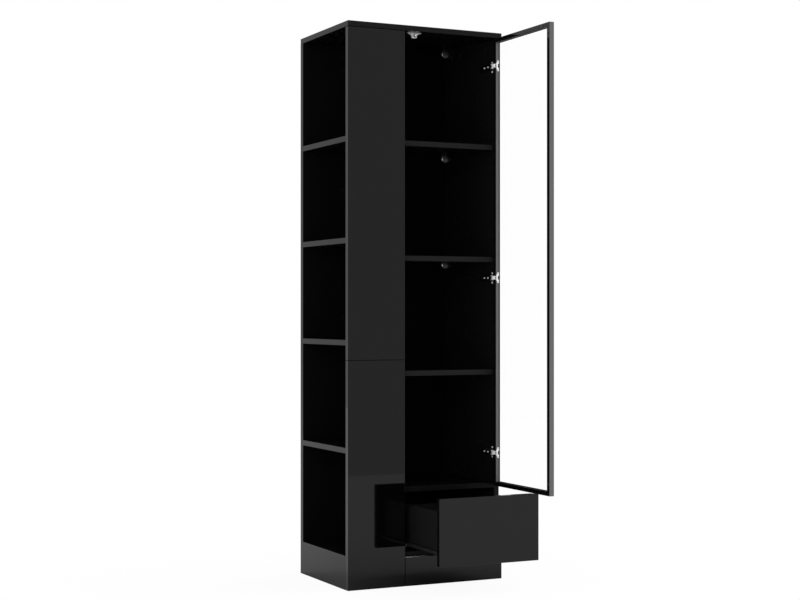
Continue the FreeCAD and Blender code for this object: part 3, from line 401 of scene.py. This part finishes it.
for name, piece in nodes.items():
    piece.data.materials.clear()
    piece.data.materials.append(own_finish.get(name) or finishes[slot_of[name]])


# ---- fine fittings --------------------------------------------------------------------
WELD = 1e-5                     # points of a mesh closer than this are one point
FLAT = 2e-4                     # points this near the end of a screw lie on its end face
SMOOTH_BELOW = math.radians(35)

HEAD_SHARE = 0.97               # radius of a dome, as a share of that of the screw's head
DOME_RISE = 0.3                 # height of a dome, as a share of its radius
DOME_RIM = 0.25                 # height of its rim, as a share of its height
DOME_RINGS = (0.93, 0.82, 0.7)  # rings between rim and recess, as shares of its radius
RECESS_ARM, RECESS_HALF = 0.58, 0.15    # length and half width of an arm, likewise
RECESS_FLOOR, RECESS_HUB = 0.2, 0.6     # of the dome's height, and the middle of that
RECESS_TAPER = 0.8              # reach of the floor, of that of the recess at its edge
TURN_BETWEEN_SCREWS = 2.4       # radians, so that no two recesses line up

WELL_R, WELL_W = 0.0075, 0.0063     # as the openings in the flanges, 0.1 mm smaller
WELL_RISE, WELL_RIM = 0.0012, 0.0006
WELL_FLOOR = 0.3                # height of the floor of a well, of its rise
WELL_STEPS = 20
COLLAR_STEPS = 40
COLLAR_PROFILE = (              # radius and height over the housing
    (0.0042, 0.0), (0.0042, 0.0006), (0.0046, 0.0009),
    (0.0060, 0.0009), (0.0064, 0.0006), (0.0064, 0.0))


def islands(name):
    """The points of each separate solid of a node."""
    work = bmesh.new()
    work.from_mesh(nodes[name].data)
    bmesh.ops.remove_doubles(work, verts=work.verts, dist=WELD)
    work.verts.ensure_lookup_table()
    seen = set()
    found = []
    for start in work.verts:
        if start.index in seen:
            continue
        seen.add(start.index)
        group, waiting = [], [start]
        while waiting:
            vert = waiting.pop()
            group.append(vert.co.copy())
            for edge in vert.link_edges:
                other = edge.other_vert(vert)
                if other.index not in seen:
                    seen.add(other.index)
                    waiting.append(other)
        found.append(group)
    work.free()
    return found


def head_of(points):
    """Centre, outward direction and radius of the head's face of a screw."""
    spans = [(min(p[i] for p in points), max(p[i] for p in points)) for i in range(3)]
    length_axis = max(range(3), key=lambda i: spans[i][1] - spans[i][0])
    along = Vector([float(i == length_axis) for i in range(3)])
    centre = Vector([sum(span) / 2 for span in spans])
    best = None
    for end, sign in zip(spans[length_axis], (-1, 1)):
        face = [p - centre for p in points if abs(p[length_axis] - end) < FLAT]
        reach = max((p - p[length_axis] * along).length for p in face)
        if best is None or reach > best[2]:
            place = centre.copy()
            place[length_axis] = end
            best = (place, sign * along, reach)
    return best


def recess_reach(angle, arm, half):
    """Distance from the centre to the edge of a cross-shaped recess."""
    far, near = sorted((abs(math.cos(angle)), abs(math.sin(angle))), reverse=True)
    return min(arm / far, half / max(near, 1e-9))


def add_dome(work, place, outward, radius, spin):
    """Domed screw head with a cross recess, standing on the flat head of a screw."""
    arm, half = RECESS_ARM * radius, RECESS_HALF * radius
    height = DOME_RISE * radius
    floor = RECESS_FLOOR * height
    quarter = [0.0, math.atan2(half, arm), math.pi / 4, math.atan2(arm, half),
               math.pi / 8, 3 * math.pi / 8]
    angles = sorted(turn * math.pi / 2 + angle for turn in range(4) for angle in quarter)
    reaches = [recess_reach(angle, arm, half) for angle in angles]

    def dome(distance):
        bulge = math.sqrt(max(0.0, 1 - (distance / radius) ** 2))
        return height * (DOME_RIM + (1 - DOME_RIM) * bulge)

    rings = [[(radius, 0.0)] * len(angles), [(radius, dome(radius))] * len(angles)]
    for share in DOME_RINGS:
        rings.append([(share * radius, dome(share * radius))] * len(angles))
    rings.append([(reach, dome(reach)) for reach in reaches])
    rings.append([(RECESS_TAPER * reach, floor) for reach in reaches])
    turned = outward.to_track_quat("Z", "Y") @ Quaternion((0, 0, 1), spin)
    made = []
    for ring in rings:
        spots = [Vector((distance * math.cos(angle), distance * math.sin(angle), z))
                 for angle, (distance, z) in zip(angles, ring)]
        made.append([work.verts.new(place + turned @ spot) for spot in spots])
    hub = work.verts.new(place + turned @ Vector((0, 0, RECESS_HUB * floor)))
    count = len(angles)
    for lower, upper in zip(made, made[1:]):
        for i in range(count):
            work.faces.new((lower[i], lower[(i + 1) % count], upper[(i + 1) % count], upper[i]))
    for i in range(count):
        work.faces.new((made[-1][i], made[-1][(i + 1) % count], hub))


def finished(name, work, body, material):
    """A piece made of the mesh in work, riding on a body."""
    mesh = bpy.data.meshes.new(name)
    bmesh.ops.recalc_face_normals(work, faces=work.faces)
    for edge in work.edges:
        edge.smooth = len(edge.link_faces) == 2 and edge.calc_face_angle(0) < SMOOTH_BELOW
    for face in work.faces:
        face.smooth = True
    work.to_mesh(mesh)
    work.free()
    mesh.materials.append(material)
    piece = bpy.data.objects.new(name, mesh)
    scene.collection.objects.link(piece)
    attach(piece, body)


def everywhere(place):
    return True


def by_hinges_and_latch(place):
    """True for the screws that show beside the door, not those of runners and brackets."""
    above_runners = 0.2
    return place.z > above_runners and place.x > LATCH_LOW.x


def elsewhere(place):
    return not by_hinges_and_latch(place)


DOMES = [
    ("bright_screw_domes", "wood_screws", "carcass", "screw_steel", pale_screw,
     by_hinges_and_latch),
    ("black_screw_domes", "wood_screws", "carcass", "black_steel", runner_black, elsewhere),
    ("adjuster_domes", "hinge_adjusters", "carcass", "screw_steel", screw_steel, everywhere),
    ("cup_screw_domes", "hinge_cup_screws", "door", "screw_steel", screw_steel, everywhere),
    ("drawer_screw_domes", "drawer_screws", "drawer", "screw_steel", screw_steel, everywhere)]
for name, node, body, slot, metal, wanted in DOMES:
    work = bmesh.new()
    for index, points in enumerate(islands(node)):
        place, outward, radius = head_of(points)
        if wanted(place):
            add_dome(work, place, outward, HEAD_SHARE * radius,
                     spin=index * TURN_BETWEEN_SCREWS)
    finished(name, work, body, metal)


def add_cup_shade_wells():
    """Black half-round cups, open at the long edge of each flange, on the hinge stile: painted
    shade in the cup holes.
    """
    work = bmesh.new()
    half_turn = math.acos((WELL_R - WELL_W) / WELL_R)
    angles = [math.pi - half_turn + 2 * half_turn * step / WELL_STEPS
              for step in range(WELL_STEPS + 1)]
    profile = ((WELL_R, 0.0), (WELL_R, WELL_RISE), (WELL_R - WELL_RIM, WELL_RISE),
               (WELL_R - 2 * WELL_RIM, WELL_FLOOR * WELL_RISE))
    for points in islands("hinge_cups"):
        edge_x = max(p.x for p in points)
        face_y = max(p.y for p in points)
        middle_z = (min(p.z for p in points) + max(p.z for p in points)) / 2
        centre = Vector((edge_x + WELL_R - WELL_W, face_y, middle_z))
        rings = []
        for radius, lift in profile:
            ring = []
            for angle in angles:
                spot = centre + radius * Vector((math.cos(angle), 0, math.sin(angle)))
                spot.x = min(spot.x, edge_x)
                spot.y = face_y - lift
                ring.append(work.verts.new(spot))
            rings.append(ring)
        for outer, inner in zip(rings, rings[1:]):
            for i in range(-1, WELL_STEPS):
                work.faces.new((outer[i], outer[i + 1], inner[i + 1], inner[i]))
        work.faces.new(rings[0])
        work.faces.new(rings[-1])
    finished("hinge_cup_shade_wells", work, "door", runner_black)


def add_latch_shade_ring():
    """Rubber ring round the plunger, on the front of the latch's housing, dark as painted shade
    round the plunger.
    """
    work = bmesh.new()
    low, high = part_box("latch_plunger")
    middle = Vector(((low.x + high.x) / 2, LATCH_LOW.y, (low.z + high.z) / 2))
    angles = [2 * math.pi * step / COLLAR_STEPS for step in range(COLLAR_STEPS)]
    rings = []
    for radius, proud in COLLAR_PROFILE:
        offsets = [Vector((radius * math.cos(angle), -proud, radius * math.sin(angle)))
                   for angle in angles]
        rings.append([work.verts.new(middle + offset) for offset in offsets])
    for first, second in zip(rings, rings[1:] + rings[:1]):
        for i in range(-1, COLLAR_STEPS - 1):
            work.faces.new((first[i], first[i + 1], second[i + 1], second[i]))
    finished("latch_shade_ring", work, "carcass", rubber)


add_cup_shade_wells()
add_latch_shade_ring()


# ---- studio ---------------------------------------------------------------------------
FLOOR_CORNERS = [(-6, -3.8, 0), (6, -3.8, 0), (6, 9, 0), (-6, 9, 0)]
FLOOR_GLOW = 0.94               # share of white where the floor is seen, the rest is matt
ROOM_LIGHT = 0.8
WHITE = (1, 1, 1, 1)


def floor_material():
    """Pale floor: matt with the shadow of the object, lifted to white where it is seen."""
    made, tree, out = new_material("pale_floor")
    matt = tree.nodes.new("ShaderNodeBsdfDiffuse")
    pale = mixed(tree, noise(tree, object_coords(tree), 3.0), grey(0.93), grey(0.96))
    tree.links.new(pale, matt.inputs["Color"])
    glow = tree.nodes.new("ShaderNodeEmission")
    glow.inputs["Strength"].default_value = 1.0
    seen = any_ray(tree, "Is Camera Ray", "Is Transmission Ray")
    share = math_node(tree, "MULTIPLY", seen, FLOOR_GLOW)
    tree.links.new(either_shader(tree, share, matt, glow), out.inputs["Surface"])
    return made


def add_floor():
    mesh = bpy.data.meshes.new("floor")
    mesh.from_pydata(FLOOR_CORNERS, [], [tuple(range(len(FLOOR_CORNERS)))])
    mesh.materials.append(floor_material())
    piece = bpy.data.objects.new("floor", mesh)
    scene.collection.objects.link(piece)


def studio_world():
    """Even light all round, and white where it is seen straight or through the glass."""
    world = bpy.data.worlds.new("studio")
    world.use_nodes = True
    tree = world.node_tree
    tree.nodes.clear()
    out = tree.nodes.new("ShaderNodeOutputWorld")
    room, white = (tree.nodes.new("ShaderNodeBackground") for _ in range(2))
    for light, strength in ((room, ROOM_LIGHT), (white, 1.0)):
        light.inputs["Color"].default_value = WHITE
        light.inputs["Strength"].default_value = strength
    seen = any_ray(tree, "Is Camera Ray", "Is Transmission Ray")
    tree.links.new(either_shader(tree, seen, room, white), out.inputs["Surface"])
    return world


def place_lamp(name, lamp, place, target):
    piece = bpy.data.objects.new(name, lamp)
    piece.location = place
    piece.rotation_euler = (Vector(target) - Vector(place)).to_track_quat("-Z", "Y").to_euler()
    scene.collection.objects.link(piece)
    piece.visible_glossy = False
    piece.visible_camera = False


add_floor()
scene.world = studio_world()

key = bpy.data.lights.new("soft_key", "AREA")
key.shape = "RECTANGLE"
key.size = key.size_y = 2.0
key.energy = 40
place_lamp("soft_key", key, (-2.8, -4.4, 1.9), (0.1, -0.3, 0.9))

overhead = bpy.data.lights.new("soft_overhead", "SUN")
overhead.angle = math.radians(50)
overhead.energy = 1.15
place_lamp("soft_overhead", overhead, (3.2, -0.3, 4.2), (0, 0, 0))
